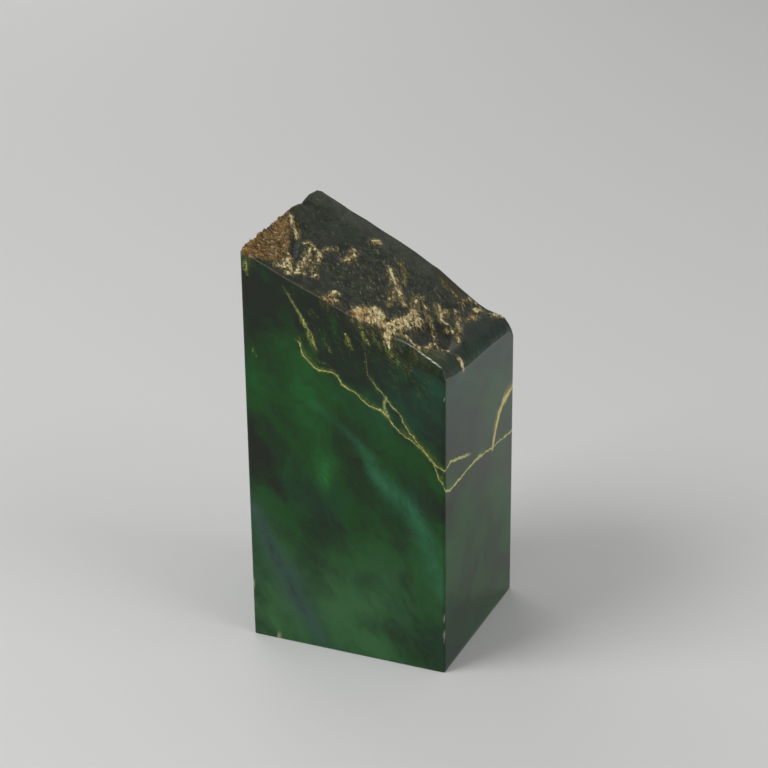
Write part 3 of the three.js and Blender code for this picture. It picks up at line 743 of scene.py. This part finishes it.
top = g.mix(g.mul(g.attr("t_pool"), 0.9), top, g.mix(g.ramp(tmid, 0.4, 0.7), (0.005, 0.008, 0.004), (0.022, 0.025, 0.009)))
bev = g.mix(g.ramp(tmid, 0.42, 0.62), (0.005, 0.022, 0.004), (0.028, 0.034, 0.006))
top = g.mix(g.mul(g.attr("t_bevel"), 0.9), top, bev)
top = g.mix(g.mul(g.attr("t_groove"), 0.9), top, (0.004, 0.008, 0.004))
top = g.mix(g.mul(g.attr("t_crest"), 0.75), top, (0.024, 0.018, 0.008))
# painted highlight: near-white colour along the bevel crease stands in for the light's glint on the polished edge
top = g.mix(g.attr("t_painted_crease_glint"), top, (0.93, 0.95, 0.88))
top = g.mix(g.mul(g.attr("t_glint"), g.ramp(tfine, 0.35, 0.6, 0.3, 0.8)), top, (0.17, 0.155, 0.11))
# golden film round the crust, small chips, then the crust itself
T3 = g.combine(g.mul(g.vec("DOT_PRODUCT", P, (0.55, -0.835, 0.0)), 0.33), g.vec("DOT_PRODUCT", P, (0.835, 0.55, 0.0)),
               g.mul(g.vec("DOT_PRODUCT", P, (0.0, 0.0, 1.0)), 0.4))
feather = g.noise(T3, 0.85, 5, 0.68, 0.5)
lump = tlump
gold_amt = g.ramp(g.add(g.add(g.mul(g.attr("t_gold"), 1.0), g.mul(g.attr("t_specks"), 0.25)), g.add(g.mul(g.sub(tchip, 0.5), 1.1), g.mul(g.sub(feather, 0.5), 2.0))), 0.34, 0.84)
goldc = g.mix(g.ramp(g.add(g.mul(lump, 0.5), g.mul(feather, 0.5)), 0.42, 0.6), (0.036, 0.034, 0.009), (0.34, 0.265, 0.078))
goldc = g.mix(g.mul(g.ramp(tmid, 0.52, 0.66), 0.6), goldc, (0.20, 0.105, 0.024))
top = g.mix(g.mul(gold_amt, 0.85), top, goldc)
speck = g.mul(g.attr("t_specks"), g.ramp(g.add(g.mul(feather, 0.5), g.mul(tfine, 0.5)), 0.575, 0.65))
top = g.mix(g.mul(speck, 0.8), top, g.mix(g.ramp(tfine, 0.45, 0.62), (0.16, 0.15, 0.055), (0.55, 0.50, 0.30)))
RN = g.vec("MULTIPLY", P, (0.42, 1.0, 0.6))
rgrain = g.noise(RN, 0.75, 5, 0.66, 0.6)
rbig = g.noise(P, 0.16, 3, 0.55)
rindc = g.mix(g.ramp(g.add(g.mul(rgrain, 0.6), g.mul(rbig, 0.4)), 0.42, 0.60), (0.050, 0.033, 0.010), (0.36, 0.24, 0.085))
rindc = g.mix(g.mx(g.mul(g.ramp(rbig, 0.50, 0.60), 0.6), g.mul(g.attr("t_corner"), 0.8)), rindc, g.mix(g.ramp(lump, 0.4, 0.6), (0.14, 0.060, 0.009), (0.36, 0.175, 0.030)))
# pale scratchy flecks on the rind: partly real pale scratches, partly a painted highlight
rindc = g.mix(g.mul(g.ramp(g.noise(RN, 1.1, 4, 0.6), 0.53, 0.63), 0.8), rindc, (0.60, 0.45, 0.25))
rcrack = g.ramp(g.math("ABSOLUTE", g.sub(g.noise(P, 0.33, 4, 0.6), 0.5)), 0.0, 0.035, 0.85, 0.0)
rindc = g.mix(rcrack, rindc, (0.014, 0.011, 0.004))
top = g.mix(g.mul(g.attr("t_edge"), 0.8), top, g.mix(0.5, side, (0.006, 0.020, 0.008)))
top = g.mix(g.attr("t_rind"), top, rindc)
crustc = g.mix(g.ramp(g.add(g.mul(lump, 0.55), g.mul(feather, 0.45)), 0.43, 0.60), (0.36, 0.255, 0.075), (0.93, 0.82, 0.50))
crustc = g.mix(g.mul(g.ramp(tmid, 0.53, 0.68), 0.55), crustc, (0.52, 0.25, 0.065))
crustc = g.mix(g.mul(g.attr("t_orange"), g.ramp(lump, 0.36, 0.58, 0.35, 0.95)), crustc, (0.60, 0.25, 0.050))
crust_amt = g.ramp(g.add(g.mul(g.attr("t_crust"), 1.0), g.add(g.mul(g.sub(feather, 0.5), 2.2), g.mul(g.sub(lump, 0.5), 1.3))), 0.40, 0.66)
crust_amt = g.mul(crust_amt, g.ramp(g.attr("t_crust"), 0.03, 0.2))
top = g.mix(crust_amt, top, crustc)

is_top = g.ramp(g.add(g.attr("top"), g.mul(g.sub(tfine, 0.5), 0.15)), 0.35, 0.6)
over = g.mx(g.mul(g.mx(g.attr("t_gold"), g.attr("t_rind")), g.ramp(veinfine, 0.4, 0.6)), crust_amt)
side2 = g.mix(over, side, g.mix(crust_amt, goldc, crustc))
base = g.mix(is_top, side2, top)

rough_side = g.ramp(fine, 0.3, 0.7, 0.10, 0.15)
rough_side = g.mx(rough_side, g.mul(core, 0.5))
rough_top = g.mix(g.attr("t_rind"), g.mix(crust_amt, g.ramp(tfib, 0.3, 0.7, 0.34, 0.55), (0.75, 0.75, 0.75)), (0.7, 0.7, 0.7))
rough_top = g.mix(g.mul(g.attr("t_bevel"), g.ramp(crust_amt, 0.6, 0.1)), rough_top, (0.24, 0.24, 0.24))
rough = g.mix(is_top, rough_side, rough_top)

bump_src = g.add(g.mul(g.mul(g.attr("top"), g.mx(g.attr("t_rind"), g.mx(crust_amt, g.mul(gold_amt, 0.5)))), g.add(g.mul(lump, 0.9), g.mul(tfine, 0.45))),
                 g.mul(g.mul(g.attr("top"), g.ramp(g.attr("t_bevel"), 0.6, 0.1)), g.add(g.mul(g.add(g.mul(tfib, 0.25), g.mul(tmid, 1.6)), 0.12), g.mul(speck, 0.15))))
bump = g.node("ShaderNodeBump")
bump.inputs["Strength"].default_value = 1.0
bump.inputs["Distance"].default_value = 1.0 * MM
g.put(bump.inputs["Height"], bump_src)

bsdf = g.node("ShaderNodeBsdfPrincipled")
g.put(bsdf.inputs["Base Color"], base)
g.put(bsdf.inputs["Roughness"], rough)
g.put(bsdf.inputs["Normal"], bump.outputs[0])
bsdf.inputs["IOR"].default_value = 1.5
bsdf.inputs["Specular IOR Level"].default_value = 0.35
out = g.node("ShaderNodeOutputMaterial")
g.put(out.inputs["Surface"], bsdf.outputs[0])
mesh.materials.append(g.mat)

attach(stone, "root")
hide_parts("jade_block")

# ---------------------------------------------------------------- stage
floor_me = bpy.data.meshes.new("floor")
R = 6.0
floor_me.from_pydata([(-R, -R, 0), (R, -R, 0), (R, R, 0), (-R, R, 0)], [], [(0, 1, 2, 3)])
floor = bpy.data.objects.new("floor", floor_me)
floor.location = (CX, CY, Z0)
bpy.context.scene.collection.objects.link(floor)
fm = bpy.data.materials.new("pale_floor")
fm.use_nodes = True
fb = fm.node_tree.nodes["Principled BSDF"]
fb.inputs["Base Color"].default_value = (0.70, 0.70, 0.69, 1)
fb.inputs["Roughness"].default_value = 0.9
fb.inputs["Specular IOR Level"].default_value = 0.1
floor_me.materials.append(fm)

world = bpy.data.worlds.new("studio")
world.use_nodes = True
world.node_tree.nodes["Background"].inputs["Color"].default_value = (1, 1, 1, 1)
world.node_tree.nodes["Background"].inputs["Strength"].default_value = 0.33
bpy.context.scene.world = world

U = 90.0 * MM


def softbox(name, direction, distance, size, energy):
    """A square soft light that faces the block."""
    li = bpy.data.lights.new(name, "AREA")
    li.shape = "SQUARE"
    li.size = size
    li.energy = energy
    ob = bpy.data.objects.new(name, li)
    target = Vector((CX, CY, Z0 + 1.0 * U))
    ob.location = target + Vector(direction).normalized() * distance
    ob.rotation_euler = (target - ob.location).to_track_quat("-Z", "Y").to_euler()
    bpy.context.scene.collection.objects.link(ob)
    return ob


# the main softbox is high on the left, as the shadow to the right needs; two wider ones
# open up the right face and the back, and stand clear of what the polished faces mirror
softbox("key", (-0.62, -0.66, 0.90), 1.5, 0.8, 11.5)
softbox("fill_right", (1.0, -0.12, 0.58), 1.8, 1.2, 9.0)
softbox("fill_back", (-0.90, 0.95, 0.65), 1.8, 1.2, 6.0)

# ---------------------------------------------------------------- camera
cam = bpy.data.cameras.new("camera")
cam.sensor_width = 36.0
cam.lens = 2150.0 / 768.0 * 36.0
cam.clip_start, cam.clip_end = 0.05, 30
co = bpy.data.objects.new("camera", cam)
right_v = Vector((0.9192167, 0.3936072, -0.0106769))
down_v = Vector((0.1473311, -0.3689649, -0.9176919))
fwd_v = Vector((-0.3651495, 0.8419847, -0.3971493))
rot = Matrix((right_v, -down_v, -fwd_v)).transposed()
co.matrix_world = Matrix.Translation(Vector((CX + 3.7389 * U, CY - 8.5989 * U, Z0 + 5.2833 * U))) @ rot.to_4x4()
bpy.context.scene.collection.objects.link(co)
bpy.context.scene.camera = co

bpy.context.scene.view_settings.view_transform = "Standard"
bpy.context.scene.view_settings.look = "None"
